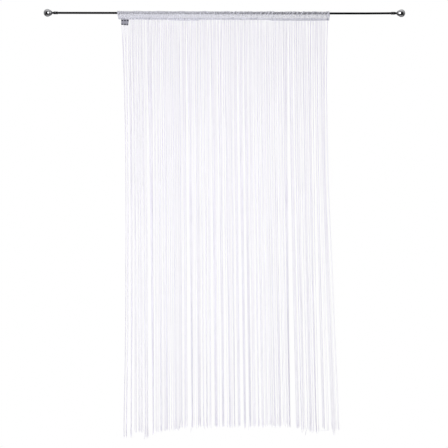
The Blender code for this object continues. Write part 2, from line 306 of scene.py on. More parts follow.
# Loose filaments at each end: how far inside the string they start, up it and from its middle, how far
# they splay, in mm, the shares of their full length, and how thin they end
FILAMENTS = 3
FILAMENT_SIDES = 3
FILAMENT_LENGTH = 11.0 * MM
FILAMENT_RADIUS = 0.38 * MM
FILAMENT_OVERLAP = 1.0 * MM
FILAMENT_INSET = 0.4 * MM
FILAMENT_SPLAYS = (0.6, 2.2)
FILAMENT_SHARES = (0.45, 1.0)
FILAMENT_TAPER = 0.7
SPLAY_POWER = 1.5
# The thread that hangs between two bunches near the right end, in mm: its ends, its height and depth
# there, its sag and its radius
LOOSE_THREAD = {"from": 456.0, "to": 497.0, "z": -1975.0, "y": -2.0, "sag": 3.0, "radius": 0.55}
LOOSE_THREAD_TONE = 0.9
LOOSE_THREAD_SIDES = 4
LOOSE_THREAD_PARTS = 12
SEED = 11
# Height at which the bunches' feet are given, height from which the fringe's edges flare, and how far a
# string inside the fringe drifts to the right between them: early at the left end, late at the right end
FOOT_Z = -1890.0 * MM
FLARE_Z = -300.0 * MM
DRIFT = 12.2 * MM
DRIFT_LEFT_POWER = 0.45
DRIFT_POWER_GROWTH = 5.5
# How quickly the flare of an outer edge dies away inside the fringe, as a share of its width
FLARE_LEFT = 0.03
FLARE_RIGHT = 0.016
# This first share of the strings hangs from this first share of the seam, and the rest from what is left
# of it
EVEN_SHARE = 0.9375
EVEN_REACH = 0.939
# How a string leans into its bunch as it falls: below 1, most of the lean is near the top
GATHER_POWER = 0.6
# Share of the strings that fall in with the ones before them, how far each does, in places along the
# seam, how many make a group, and the share of the fall in which most of that happens
PAIRED = 0.9
FALL_IN = -0.5
FALL_GROUP = 3
PAIRED_BY = 0.09
# How far a string is off its own place at the seam, below it and in its bunch, in places, and how far a
# bunch's outer strings stand, in spreads
TOP_JITTER = 0.65
LOW_JITTER = 0.45
BUNCH_JITTER = 0.5
SPREAD_REACH = 1.7
# What each string draws for itself: depth, how far its end is above the arch, sway and swing, in mm, and
# tone
DEPTHS = (-4.5, 4.5)
ENDS = (-6.0, 9.0)
SWAYS = (0.4, 1.3)
TONES = (0.60, 1.0)
SWINGS = (-1.5, 1.5)
# A string sways from side to side as it falls: the rates of its two waves in radians, the second's share,
# and the share of the sway that shows; and the rate at which it sways forward and back
SWAY_RATES = (5.3 * math.pi, 11.0)
SWAY_SECOND = 0.5
SWAY_SHOWN = 0.8
DEPTH_RATE = 7.0
# Share of the way down at which a string's end starts to swing
SWING_START = 0.975
SWING_LENGTH = 20.0 * MM
# Waves of the whole fringe, forward and back, at its foot: size in mm, rate and start
FRINGE_WAVES = table("size rate start", (3.2, 21.0, 0.6), (2.2, 47.0, 2.1))
# The fringe's outer edges, in mm: height, left edge and right edge
FRINGE_EDGES = table(
    "z left right",
    (-27, -494, 493), (-155, -485, 487), (-383, -476, 482), (-610, -471, 482), (-838, -470, 488),
    (-1065, -469, 499), (-1293, -470, 511), (-1520, -472, 523), (-1748, -476, 534),
    (-1975, -481, 544),
)
# The arch of the strings' ends, in mm: place along the lower edge and height
FRINGE_ENDS = table(
    "x z",
    (-480, -2004), (-440, -2004), (-428, -1984), (-384, -1984), (-376, -2005), (-360, -2005),
    (-335, -1990), (-315, -1980), (-240, -1972), (-190, -1961), (-120, -1955), (340, -1954),
    (360, -1968), (390, -1976), (450, -1978), (470, -1966), (490, -1972), (543, -1976),
)
# Bunches that the strings fall into, from left to right: the middle of each at the fringe's end and how
# widely its strings scatter there, in mm, and how many strings it takes
BUNCHES = table(
    "foot spread strings",
    (-472, 1.4, 3), (-461, 2.0, 3), (-439, 1.4, 5), (-418, 3.6, 4), (-402, 1.8, 3), (-389, 3.4, 4),
    (-371, 2.0, 4), (-361, 3.0, 3), (-335, 1.7, 9), (-316, 4.5, 4), (-297, 2.6, 5), (-281, 3.5, 3),
    (-270, 2.6, 5), (-249, 8.5, 6), (-230, 2.0, 4), (-219, 3.5, 3), (-210, 2.5, 2), (-201, 2.6, 4),
    (-180, 4.2, 6), (-150, 2.0, 8), (-133, 4.5, 2), (-117, 4.4, 7), (-97, 1.5, 4), (-80, 1.9, 5),
    (-64, 3.0, 4), (-38, 2.8, 7), (-25, 4.5, 2), (-4, 3.0, 7), (16, 0.0, 2), (29, 2.4, 5),
    (39, 2.0, 2), (50, 1.5, 4), (72, 3.4, 6), (99, 3.0, 7), (124, 2.8, 7), (143, 4.6, 5),
    (165, 1.9, 4), (183, 3.4, 5), (202, 3.6, 4), (223, 6.0, 6), (241, 2.4, 4), (254, 2.5, 2),
    (265, 2.8, 6), (284, 4.0, 3), (299, 2.6, 3), (311, 1.7, 8), (349, 5.2, 6), (371, 5.2, 6),
    (380, 1.6, 2), (399, 4.0, 3), (412, 2.8, 5), (424, 1.6, 2), (435, 1.7, 6), (447, 0.0, 2),
    (471, 3.2, 6), (490, 5.0, 2), (513, 3.4, 4), (530, 8.0, 5),
)
# Strings that end lower than their neighbours, in mm: the foot of their bunch, extra length, sideways
# swing
TAILS = table(
    "foot longer swing",
    (-371, 12, -3), (-201, 14, -11), (-150, 26, -4), (-97, 13, 7), (99, 13, 3), (124, 15, -3),
    (371, 14, 4), (399, 22, -11), (435, 12, 6), (513, 22, 9), (530, 18, 1),
)

# Label
LABEL_LEFT_X = -489.0 * MM
LABEL_RIGHT_X = -453.0 * MM
LABEL_TOP_Z = -26.5 * MM
LABEL_LEFT_DROP = -56.5 * MM
LABEL_RIGHT_DROP = -60.0 * MM
LABEL_THICKNESS = 0.35 * MM
LABEL_COLUMNS = 16
LABEL_ROWS = 14
# How far its right edge draws in at its foot, the share of its height that the seam catches, and the
# share below that over which it comes free
LABEL_TAPER = 4.0 * MM
LABEL_CAUGHT = 0.12
LABEL_FREES = 0.3
# How far forward it is: at its top, more where it hangs free, by its curl and by its wave
LABEL_FRONT = 1.2 * MM
LABEL_STAND = 1.2 * MM
LABEL_CURL = 1.8 * MM
LABEL_WAVE = 0.5 * MM
LABEL_WAVE_RATE = 5.0
LABEL_WAVE_START = 0.6
# Woven marks: plain bars in two rows, as a pitch and the shares of it between which the mark lies
# The label's darker and paler ground: the darker is painted shade in the hollows between the weave's threads
LABEL_GROUND_AND_WEAVE_SHADE = ((0.24, 0.24, 0.29, 1.0), (0.40, 0.40, 0.46, 1.0))
LABEL_MARK = (0.035, 0.035, 0.05, 1.0)
LABEL_BARS = {"pitch": 13.0 * MM, "start": 0.08, "end": 0.66}
LABEL_LINES = {"pitch": 18.9 * MM, "start": 0.33, "end": 0.67}

# Heights of a plain weave's threads below which its gaps are open and above which they are closed
WEAVE_GAPS = (0.35, 0.8)
# Range in which most of a noise value lies
NOISE_RANGE = (0.3, 0.7)


def smooth_step(t):
    """0 to 1 with level ends, for t held between 0 and 1."""
    t = min(max(t, 0.0), 1.0)
    return t * t * (3.0 - 2.0 * t)


def hump(offset, half):
    """1 at the middle of a rounded hump, and about a third at its half width."""
    return math.exp(-(offset / half) ** 2)


def add_waves(rows, place):
    """The sum of a table's waves at a place."""
    return sum(row["size"] * math.sin(row["rate"] * place + row["start"]) for row in rows)


def read_table(rows, key, column, place, unit=MM):
    """A column's value at a place along the key, in metres: straight between rows, level past the ends."""
    stations = sorted((row[key] * MM, row[column] * unit) for row in rows)
    if place <= stations[0][0]:
        return stations[0][1]
    for (low_place, low), (high_place, high) in zip(stations, stations[1:]):
        if place <= high_place:
            return low + (high - low) * (place - low_place) / (high_place - low_place)
    return stations[-1][1]


def edges_at(rows, z):
    """A table's left and right edges at a height."""
    return [read_table(rows, "z", edge, z) for edge in ("left", "right")]


# ---------------- camera and studio


def make_camera():
    """A camera in front of the curtain, level with its middle, with its axis square to the fringe."""
    view_width = (cad_high.x - cad_low.x) / ROD_SHARE
    lens = bpy.data.cameras.new("camera")
    lens.lens = LENS
    lens.sensor_width = SENSOR
    camera = bpy.data.objects.new("camera", lens)
    bpy.context.scene.collection.objects.link(camera)
    middle_z = (cad_low.z + cad_high.z) / 2.0 - VIEW_DROP
    camera.location = (VIEW_RIGHT, -view_width * LENS / SENSOR, middle_z)
    camera.rotation_euler = (math.pi / 2.0, -ROLL, 0.0)
    bpy.context.scene.camera = camera


def dark_share(tree, toward, height, dark):
    """1 outside a dark part of the room and its own faint light inside it."""
    inside = rescale(tree, toward, dark["starts"], dark["full"], 1.0, dark["light"])
    above = rescale(tree, height, *dark["ends"], 0.0, 1.0)
    return calculate(tree, "MAXIMUM", inside, above)


def mirrored_room(tree):
    """The brightness that metal mirrors each way: paler upward, dark in front and low at the sides."""
    toward = split_axes(tree, tree.nodes.new("ShaderNodeTexCoord").outputs["Generated"])
    ramp = tree.nodes.new("ShaderNodeValToRGB")
    stops = ramp.color_ramp.elements
    while len(stops) < len(MIRRORED_ROOM):
        stops.new(0.5)
    for stop, row in zip(stops, MIRRORED_ROOM):
        stop.position = row["height"]
        stop.color = (row["light"], row["light"], row["light"], 1.0)
    tree.links.new(rescale(tree, toward["Z"], -1.0, 1.0, 0.0, 1.0), ramp.inputs["Fac"])
    lean = calculate(tree, "MULTIPLY", toward["Z"], DARK_TILT)
    front = dark_share(tree, calculate(tree, "SUBTRACT", lean, toward["Y"]), toward["Z"], DARK_FRONT)
    corners = dark_share(tree, calculate(tree, "ABSOLUTE", toward["X"]), toward["Z"], DARK_CORNERS)
    return calculate(tree, "MULTIPLY", ramp.outputs["Color"], calculate(tree, "MULTIPLY", front, corners))


def make_background(tree, colour, strength=1.0):
    """A Background shader."""
    return make_node(tree, "Background", {"Color": colour, "Strength": strength}).outputs[0]


def mix_shaders(tree, share, first, second):
    """The first shader where the share is 0 and the second where it is 1."""
    node = tree.nodes.new("ShaderNodeMixShader")
    for socket, value in zip(node.inputs, (share, first, second)):
        tree.links.new(value, socket)
    return node.outputs[0]


def make_world():
    """A white surround: soft even light, a white background, and a darker room in what metal mirrors."""
    world = bpy.data.worlds.new("studio")
    bpy.context.scene.world = world
    world.use_nodes = True
    tree = world.node_tree
    tree.nodes.clear()
    rays = tree.nodes.new("ShaderNodeLightPath").outputs
    ambient = make_background(tree, WHITE, AMBIENT)
    mirrored = make_background(tree, mirrored_room(tree))
    by_gloss = mix_shaders(tree, rays["Is Glossy Ray"], ambient, mirrored)
    by_camera = mix_shaders(tree, rays["Is Camera Ray"], by_gloss, make_background(tree, WHITE))
    make_node(tree, "OutputWorld", {"Surface": by_camera})


def make_softboxes():
    """Soft panels in front of the curtain, out of the camera's sight."""
    for number, row in enumerate(SOFTBOXES):
        panel = bpy.data.lights.new(f"softbox_{number}", "AREA")
        panel.shape = "ELLIPSE"
        panel.size, panel.size_y = row["size"]
        panel.energy = row["power"]
        panel.spread = math.radians(row["spread"])
        lamp = bpy.data.objects.new(panel.name, panel)
        lamp.location = row["at"]
        facing = Vector(row["to"]) - Vector(row["at"])
        lamp.rotation_euler = facing.to_track_quat("-Z", "Y").to_euler()
        lamp.visible_camera = False
        lamp.visible_glossy = row["mirrored"]
        bpy.context.scene.collection.objects.link(lamp)


def make_floor():
    """A wide pale floor just under the strings' ends."""
    shape = bmesh.new()
    bmesh.ops.create_circle(shape, cap_ends=True, segments=FLOOR_STEPS, radius=FLOOR_RADIUS)
    bmesh.ops.translate(shape, verts=shape.verts, vec=(0.0, 0.0, cad_low.z - FLOOR_DROP))
    floor = finish_mesh("floor", shape, floor_material())
    floor.visible_glossy = False
    floor.visible_diffuse = False


# ---------------- mesh helpers


def finish_mesh(name, shape, material, sharp=None):
    """A smooth-shaded object from a bmesh, with one material and edges sharp past an angle in degrees."""
    mesh = bpy.data.meshes.new(name)
    shape.to_mesh(mesh)
    shape.free()
    mesh.materials.append(material)
    mesh.shade_smooth()
    if sharp:
        mesh.set_sharp_from_angle(angle=math.radians(sharp))
    piece = bpy.data.objects.new(name, mesh)
    bpy.context.scene.collection.objects.link(piece)
    return piece


def show_piece(piece, slot, *nodes):
    """Ride on the one body and stand for the CAD nodes. The slot is not used."""
    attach(piece, "root")
    if nodes:
        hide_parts(*nodes)


def thicken(piece, thickness):
    """Give an open sheet its thickness, half on each side."""
    solidify = piece.modifiers.new("thickness", "SOLIDIFY")
    solidify.thickness = thickness
    solidify.offset = 0.0
    solidify.use_even_offset = True
    solidify.use_rim = True


def make_cylinder(sides, radius, length):
    """A closed cylinder round Z, with its middle at the origin."""
    shape = bmesh.new()
    ends = {"radius1": radius, "radius2": radius}
    bmesh.ops.create_cone(shape, cap_ends=True, segments=sides, depth=length, **ends)
    return shape


def lay_along_x(shape):
    """Turn a shape that stands along Z to lie along X."""
    bmesh.ops.rotate(shape, verts=shape.verts, matrix=Matrix.Rotation(math.pi / 2.0, 3, "Y"))


def cut_across(shape, place, direction):
    """Cut a shape at a place, square to a direction, and keep both parts."""
    geometry = shape.verts[:] + shape.edges[:] + shape.faces[:]
    bmesh.ops.bisect_plane(shape, geom=geometry, plane_co=place, plane_no=direction)


def make_cloth(columns, rows, corner_at, attributes=()):
    """A sheet whose corners, flat places and attributes are worked out from their columns and rows."""
    shape = bmesh.new()
    bmesh.ops.create_grid(shape, x_segments=columns, y_segments=rows, size=0.5)
    flat_map = shape.loops.layers.uv.new("cloth")
    layers = [shape.verts.layers.float.new(name) for name in attributes]
    flat_places = {}
    for corner in shape.verts:
        column = round((corner.co.x + 0.5) * columns)
        row = round((0.5 - corner.co.y) * rows)
        corner.co, flat_places[corner], *values = corner_at(column, row)
        for layer, value in zip(layers, values):
            corner[layer] = value
    for face in shape.faces:
        for loop in face.loops:
            loop[flat_map].uv = flat_places[loop.vert]
    return shape


def round_angle(place, axis):
    """The angle of a place round an axis, in turns."""
    if axis == "X":
        return math.atan2(place.z, place.y) / math.tau
    return math.atan2(place.y, place.x) / math.tau


def keep_template(name, shape, axis):
    """A mesh to copy many times, with a UV map in turns round its axis and metres along it, and a tone."""
    layer = shape.loops.layers.uv.new("cloth")
    for face in shape.faces:
        around = round_angle(face.calc_center_median(), axis)
        for loop in face.loops:
            turn = round_angle(loop.vert.co, axis)
            turn += round(around - turn)
            loop[layer].uv = (turn, loop.vert.co.x if axis == "X" else loop.vert.co.z)
    shape.verts.layers.float.new("tone")
    mesh = bpy.data.meshes.new(name)
    shape.to_mesh(mesh)
    shape.free()
    return mesh


def add_copy(shape, template):
    """Copy a template into a shape, and give the copy's corners and faces."""
    first_corner, first_face = len(shape.verts), len(shape.faces)
    shape.from_mesh(template)
    shape.verts.ensure_lookup_table()
    shape.faces.ensure_lookup_table()
    return shape.verts[first_corner:], shape.faces[first_face:]


# ---------------- shader helpers


def feed(tree, socket, value):
    """Link a node's output to a socket, or set the socket's own value."""
    if isinstance(value, bpy.types.NodeSocket):
        tree.links.new(value, socket)
    else:
        socket.default_value = value


def feed_all(tree, node, values):
    """Feed a node's inputs by their names."""
    for name, value in values.items():
        feed(tree, node.inputs[name], value)


def make_node(tree, kind, values):
    """A shader node with its inputs fed."""
    node = tree.nodes.new("ShaderNode" + kind)
    feed_all(tree, node, values)
    return node


def calculate(tree, operation, *values):
    """A Math node on sockets or numbers."""
    node = tree.nodes.new("ShaderNodeMath")
    node.operation = operation
    for socket, value in zip(node.inputs, values):
        feed(tree, socket, value)
    return node.outputs[0]


def rescale(tree, value, low, high, new_low, new_high):
    """A Map Range node, held between its ends."""
    node = tree.nodes.new("ShaderNodeMapRange")
    for socket, number in zip(node.inputs, (value, low, high, new_low, new_high)):
        feed(tree, socket, number)
    return node.outputs["Result"]


def blend_colours(tree, share, first, second):
    """A colour between two colours."""
    node = tree.nodes.new("ShaderNodeMix")
    node.data_type = "RGBA"
    feed_all(tree, node, {"Factor": share, "A": first, "B": second})
    return node.outputs["Result"]


def split_axes(tree, vector):
    """A vector's X, Y and Z."""
    return make_node(tree, "SeparateXYZ", {"Vector": vector}).outputs


def join_axes(tree, values):
    """A vector from its X, Y and Z."""
    return make_node(tree, "CombineXYZ", values).outputs[0]


def noise(tree, vector, scale=1.0, detail=2.0):
    """A noise value on a vector."""
    node = make_node(tree, "TexNoise", {"Vector": vector, "Scale": scale, "Detail": detail})
    return node.outputs["Fac"]


def stretch(tree, vector, amounts):
    """A vector with each axis multiplied."""
    node = tree.nodes.new("ShaderNodeVectorMath")
    node.operation = "MULTIPLY"
    feed(tree, node.inputs[0], vector)
    feed(tree, node.inputs[1], amounts)
    return node.outputs[0]


def object_place(tree):
    """Object coordinates."""
    return tree.nodes.new("ShaderNodeTexCoord").outputs["Object"]


def cloth_place(tree):
    """Across and along the cloth or yarn, from the piece's own UV map."""
    node = tree.nodes.new("ShaderNodeUVMap")
    node.uv_map = "cloth"
    return node.outputs[0]


def attribute(tree, name):
    """A value that the piece's own mesh carries."""
    node = tree.nodes.new("ShaderNodeAttribute")
    node.attribute_name = name
    return node.outputs["Fac"]


def relief(tree, height, strength, depth):
    """A Bump node for the shader's Normal."""
    return make_node(tree, "Bump", {"Height": height, "Strength": strength, "Distance": depth}).outputs[0]


def new_material(name):
    """A material with a Principled shader, and its node tree."""
    material = bpy.data.materials.new(name)
    material.use_nodes = True
    return material, material.node_tree


def dress(material, finish):
    """Give a material's Principled shader its finish, by the names of the shader's inputs."""
    tree = material.node_tree
    feed_all(tree, tree.nodes["Principled BSDF"], finish)
    return material


def new_group(name, inputs, outputs):
    """A shader node group with number inputs and outputs."""
    group = bpy.data.node_groups.new(name, "ShaderNodeTree")
    for socket_name, value in inputs.items():
        socket = group.interface.new_socket(socket_name, in_out="INPUT", socket_type="NodeSocketFloat")
        socket.default_value = value
    for socket_name in outputs:
        group.interface.new_socket(socket_name, in_out="OUTPUT", socket_type="NodeSocketFloat")
    return group, group.nodes.new("NodeGroupInput").outputs, group.nodes.new("NodeGroupOutput")


def use_group(tree, group, **values):
    """Place a group in a material with its own values."""
    node = tree.nodes.new("ShaderNodeGroup")
    node.node_tree = group
    feed_all(tree, node, values)
    return node.outputs


def make_yarn_group():
    """Plied yarn: Relief of the plies and fibres, and the ply shade painted on the colour, which is 0
    between the plies and 1 on them.
    """
    group, given, result = new_group("plied_yarn", {"Pitch": 5.0 * MM, "Plies": 2.0}, ("Relief", "Depth"))
    place = split_axes(group, cloth_place(group))
    around = calculate(group, "MULTIPLY", place["X"], given["Plies"])
    turn = calculate(group, "ADD", around, calculate(group, "DIVIDE", place["Y"], given["Pitch"]))
    wave = calculate(group, "SINE", calculate(group, "MULTIPLY", turn, math.pi))
    ply = calculate(group, "POWER", calculate(group, "ABSOLUTE", wave), PLY_ROUNDNESS)
    fibre_turn = calculate(group, "MULTIPLY", turn, FIBRE_TURNS)
    fibre_along = calculate(group, "MULTIPLY", place["Y"], FIBRE_RATE)
    fibres = noise(group, join_axes(group, {"X": fibre_turn, "Y": fibre_along}), detail=3.0)
    total = calculate(group, "ADD", ply, calculate(group, "MULTIPLY", fibres, FIBRE_SHARE))
    feed_all(group, result, {"Relief": total, "Depth": ply})
    return group


def make_weave_group():
    """Plain weave on the UV map in metres: Relief of its threads, and Gap, which is 1 between them."""
    group, given, result = new_group("plain_weave", {"Pitch": 0.7 * MM}, ("Relief", "Gap"))
    place = split_axes(group, cloth_place(group))
    waves = []
    for axis in ("X", "Y"):
        turns = calculate(group, "DIVIDE", place[axis], given["Pitch"])
        waves.append(calculate(group, "SINE", calculate(group, "MULTIPLY", turns, math.pi)))
    over_share = rescale(group, calculate(group, "MULTIPLY", *waves), -1.0, 1.0, 0.0, 1.0)
    warp, weft = [calculate(group, "ABSOLUTE", wave) for wave in waves]
    warp_over = calculate(group, "MULTIPLY", warp, over_share)
    weft_over = calculate(group, "MULTIPLY", weft, calculate(group, "SUBTRACT", 1.0, over_share))
    threads = calculate(group, "MAXIMUM", warp_over, weft_over)
    gap = rescale(group, calculate(group, "MAXIMUM", warp, weft), *WEAVE_GAPS, 1.0, 0.0)
    feed_all(group, result, {"Relief": threads, "Gap": gap})
    return group


def make_metal_group():
    """Worn polish: Grain runs along fine tool marks, and Smudge is slow and patchy."""
    inputs = {"Along": 4.0, "Across": 900.0, "Patches": 25.0}
    group, given, result = new_group("worn_polish", inputs, ("Grain", "Smudge"))
    scales = join_axes(group, {"X": given["Along"], "Y": given["Across"], "Z": given["Across"]})
    place = object_place(group)
    grain = noise(group, stretch(group, place, scales))
    smudge = noise(group, place, given["Patches"], 4.0)
    feed_all(group, result, {"Grain": grain, "Smudge": smudge})
    return group


YARN = make_yarn_group()
WEAVE = make_weave_group()
POLISH = make_metal_group()


# ---------------- materials


def floor_material():
    """Matt white, bright enough to stay plain."""
    return dress(new_material("white_floor")[0], {
        "Base Color": BLACK,
        "Roughness": 0.9,
        "Specular IOR Level": 0.0,
        "Emission Color": WHITE,
        "Emission Strength": 1.0,
    })


def rod_material():
    """Dark polished steel with fine lines drawn along the tube."""
    material, tree = new_material("dark_polished_steel")
    marks = use_group(tree, POLISH, Along=3.0, Across=1400.0, Patches=18.0)
    return dress(material, {
        "Base Color": blend_colours(tree, marks["Smudge"], *STEEL),
        "Metallic": 1.0,
        "Roughness": rescale(tree, marks["Smudge"], *NOISE_RANGE, *STEEL_ROUGHNESS),
        "Normal": relief(tree, marks["Grain"], strength=0.25, depth=0.05 * MM),
    })


def finial_material():
    """A chrome ball and cup on a dark steel collar, with faint turned rings and soft finger marks."""
    material, tree = new_material("turned_chrome")
    marks = use_group(tree, POLISH, Along=1500.0, Across=10.0, Patches=70.0)
    from_middle = calculate(tree, "ABSOLUTE", split_axes(tree, object_place(tree))["X"])
    on_ball = rescale(tree, from_middle, *COLLAR_ENDS, 0.0, 1.0)
    steel, chrome = [blend_colours(tree, marks["Smudge"], *colours) for colours in (STEEL, CHROME)]
    return dress(material, {
        "Base Color": blend_colours(tree, on_ball, steel, chrome),
        "Metallic": 1.0,
        "Roughness": rescale(tree, marks["Smudge"], *CHROME_SMUDGES, *CHROME_ROUGHNESS),
        "Normal": relief(tree, marks["Grain"], strength=0.12, depth=0.03 * MM),
    })


def heading_alpha(tree, gap):
    """How much the heading hides: its mesh's own cover, puckered, with open gaps between the threads."""
    pucker_place = stretch(tree, cloth_place(tree), (1.0 / PUCKERS[0], 1.0 / PUCKERS[1], 1.0))
    pucker_range = (1.0 - PUCKER_SHARE, 1.0 + PUCKER_SHARE)
    puckers = rescale(tree, noise(tree, pucker_place, detail=1.0), *NOISE_RANGE, *pucker_range)
    cover = calculate(tree, "MULTIPLY", attribute(tree, "cover"), puckers)
    open_share = calculate(tree, "SUBTRACT", 1.0, calculate(tree, "MINIMUM", cover, FULL_COVER))
    holes = calculate(tree, "MULTIPLY", open_share, rescale(tree, gap, 0.0, 1.0, *OPENNESS))
    see_through = calculate(tree, "SQRT", calculate(tree, "MINIMUM", holes, 1.0))
    return calculate(tree, "SUBTRACT", 1.0, see_through)


def heading_material():
    """Sheer plain-woven cloth whose cover and painted shade come from the heading's own mesh."""
    material, tree = new_material("sheer_heading_cloth")
    weave = use_group(tree, WEAVE, Pitch=0.7 * MM)
    slubs = noise(tree, stretch(tree, cloth_place(tree), SLUBS), detail=3.0)
    clean, painted_shade_colour = [blend_colours(tree, slubs, *colours) for colours in (CLEAN_CLOTH, PAINTED_SHADE_CLOTH)]
    return dress(material, {
        # The mesh's layers attribute is painted shade: it blends the cloth toward its shaded colour
        "Base Color": blend_colours(tree, attribute(tree, "layers"), clean, painted_shade_colour),
        "Roughness": 0.7,
        "Specular IOR Level": 0.25,
        "Sheen Weight": 0.15,
        "Alpha": heading_alpha(tree, weave["Gap"]),
        "Normal": relief(tree, weave["Relief"], strength=0.4, depth=0.15 * MM),
    })


def tinted(colour):
    """A yarn colour as it is near the heading, a little more lavender than at the ends."""
    return tuple(share * tint for share, tint in zip(colour, UPPER_TINT))


def yarn_material(name, colours, pitch):
    """Plied yarn with shade painted between its plies: each string has its own tone, and is more lavender
    toward the heading.
    """
    material, tree = new_material(name)
    plies = use_group(tree, YARN, Pitch=pitch, Plies=2.0)
    fleck = noise(tree, stretch(tree, cloth_place(tree), FLECKS))
    # Painted shade between the plies, times the flecks' own lightness
    painted_ply_shade_and_flecks = calculate(tree, "MULTIPLY", plies["Depth"], rescale(tree, fleck, *NOISE_RANGE, *FLECK_LIGHT))
    own = calculate(tree, "MULTIPLY", painted_ply_shade_and_flecks, attribute(tree, "tone"))
    below = blend_colours(tree, own, *colours)
    above = blend_colours(tree, own, *map(tinted, colours))
    height = rescale(tree, split_axes(tree, object_place(tree))["Z"], *TINT_HEIGHTS, 0.0, 1.0)
    return dress(material, {
        "Base Color": blend_colours(tree, height, below, above),
        "Roughness": rescale(tree, fleck, *NOISE_RANGE, *FLECK_ROUGHNESS),
        "Specular IOR Level": 0.3,
        "Sheen Weight": 0.2,
        "Normal": relief(tree, plies["Relief"], strength=0.5, depth=0.25 * MM),
    })


def woven_bands(tree, place, pitch, start, end):
    """1 inside evenly repeated bands and 0 outside them."""
    turn = calculate(tree, "FRACT", calculate(tree, "DIVIDE", place, pitch))
    inside = calculate(tree, "GREATER_THAN", turn, start)
    return calculate(tree, "MULTIPLY", inside, calculate(tree, "LESS_THAN", turn, end))


def label_material():
    """Dense woven label: a grey-blue ground with shade painted between its threads, and two plain rows of
    darker bars.
    """
    material, tree = new_material("woven_label_cloth")
    weave = use_group(tree, WEAVE, Pitch=0.35 * MM)
    place = split_axes(tree, cloth_place(tree))
    bars = woven_bands(tree, place["X"], **LABEL_BARS)
    mark = calculate(tree, "MULTIPLY", bars, woven_bands(tree, place["Y"], **LABEL_LINES))
    ground = blend_colours(tree, weave["Relief"], *LABEL_GROUND_AND_WEAVE_SHADE)
    return dress(material, {
        "Base Color": blend_colours(tree, mark, ground, LABEL_MARK),
        "Roughness": 0.75,
        "Normal": relief(tree, weave["Relief"], strength=0.5, depth=0.12 * MM),
    })


# ---------------- rod and ball ends


def make_rod():
    """The straight steel tube, which ends just short of each ball end's socket floor."""
    low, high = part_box("rod")
    length = high.x - low.x
    shape = make_cylinder(ROD_SIDES, ROD_RADIUS, length)
    lay_along_x(shape)
    bmesh.ops.translate(shape, verts=shape.verts, vec=((low.x + high.x) / 2.0, 0.0, 0.0))
    for part in range(1, ROD_PARTS):
        cut_across(shape, (low.x + length * part / ROD_PARTS, 0.0, 0.0), (1.0, 0.0, 0.0))
    for corner in shape.verts:
        corner.co.z -= read_table(SAGS, "x", "sag", corner.co.x)
    rod = finish_mesh("steel_rod", shape, rod_material(), sharp=40.0)
    show_piece(rod, "rod_metal", "rod")


def smooth_curve(points, steps):
    """Points on a smooth curve through the given points, a few for each span."""
    curve = []
    for index in range(len(points) - 1):
        before = points[max(index - 1, 0)]
        start, end = points[index], points[index + 1]
        after = points[min(index + 2, len(points) - 1)]
        for step in range(steps):
            t = step / steps
            place = []
            for a, b, c, d in zip(before, start, end, after):
                bend = 2.0 * a - 5.0 * b + 4.0 * c - d
                twist = 3.0 * b - a - 3.0 * c + d
                place.append(0.5 * (2.0 * b + (c - a) * t + bend * t * t + twist * t ** 3))
            curve.append(tuple(place))
    return curve + [points[-1]]


def finial_profile():
    """Half section of a ball end: the socket's wall, the beads, neck and cup, and round the ball."""
    mouth = FINIAL_SIDE[0][0] * MM
    points = [(mouth - SOCKET_DEPTH, 0.0), (mouth - SOCKET_DEPTH, SOCKET_RADIUS), (mouth, SOCKET_RADIUS)]
    points += [(along * MM, radius * MM) for along, radius in smooth_curve(FINIAL_SIDE, PROFILE_STEPS)]
    shoulder = math.asin(FINIAL_SIDE[-1][0] * MM / BALL_RADIUS) - math.radians(GROOVE_ANGLE)
    for step in range(BALL_STEPS + 1):
        angle = shoulder - step * (shoulder + math.pi / 2.0) / BALL_STEPS
        points.append((BALL_RADIUS * math.sin(angle), BALL_RADIUS * math.cos(angle)))
    return points


def make_finial(name, side, node):
    """One turned ball end, spun round the rod's axis."""
    low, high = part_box(node)
    centre_x = low.x + BALL_RADIUS if side < 0.0 else high.x - BALL_RADIUS
    shape = bmesh.new()
    profile = [(centre_x - side * along, 0.0, radius) for along, radius in finial_profile()]
    corners = [shape.verts.new(place) for place in profile]
    edges = [shape.edges.new(pair) for pair in zip(corners, corners[1:])]
    bmesh.ops.spin(
        shape,
        geom=corners + edges,
        cent=(centre_x, 0.0, 0.0),
        axis=(1.0, 0.0, 0.0),
        angle=math.tau,
        steps=FINIAL_STEPS,
        use_merge=True,
    )
    bmesh.ops.remove_doubles(shape, verts=shape.verts, dist=0.01 * MM)
    bmesh.ops.recalc_face_normals(shape, faces=shape.faces)
    finial = finish_mesh(name, shape, finial_material(), sharp=50.0)
    show_piece(finial, "finial_metal", node)


# ---------------- heading


def crease_at(x, along):
    """How far the creases stand off, and their mask, at a place along the heading and along its section."""
    arc_end = math.pi * POCKET_HALF
    from_rod = along if along < arc_end / 2.0 else arc_end - along
    fade = smooth_step((from_rod - CREASE_FADES[0]) / (CREASE_FADES[1] - CREASE_FADES[0]))
    stand, mask = 0.0, 0.0
    for row in CREASES:
        across = x - row["x"] * MM - row["lean"] * min(along, arc_end)
        half = row["half"] * MM
        if abs(across) < CREASE_REACH * half:
            bump = hump(across, half) * fade
            stand = max(stand, bump * row["stand"] * MM)
            mask = max(mask, bump * min(row["stand"] * MM / FULL_CREASE, 1.0))
    return stand, mask


def tuck_at(x, z):
    """The shade painted in the seam's small tucks at a place."""
    shade = 0.0
    for row in TUCKS:
        across, half = x - row["x"] * MM, row["half"] * MM
        above = (z - STITCH_Z) / (row["rise"] * MM)
        if abs(across) < TUCK_REACH * half:
            fade = smooth_step(TUCK_TOP - max(above, 0.0))
            shade = max(shade, row["shade"] * hump(across, half) * fade)
    return shade


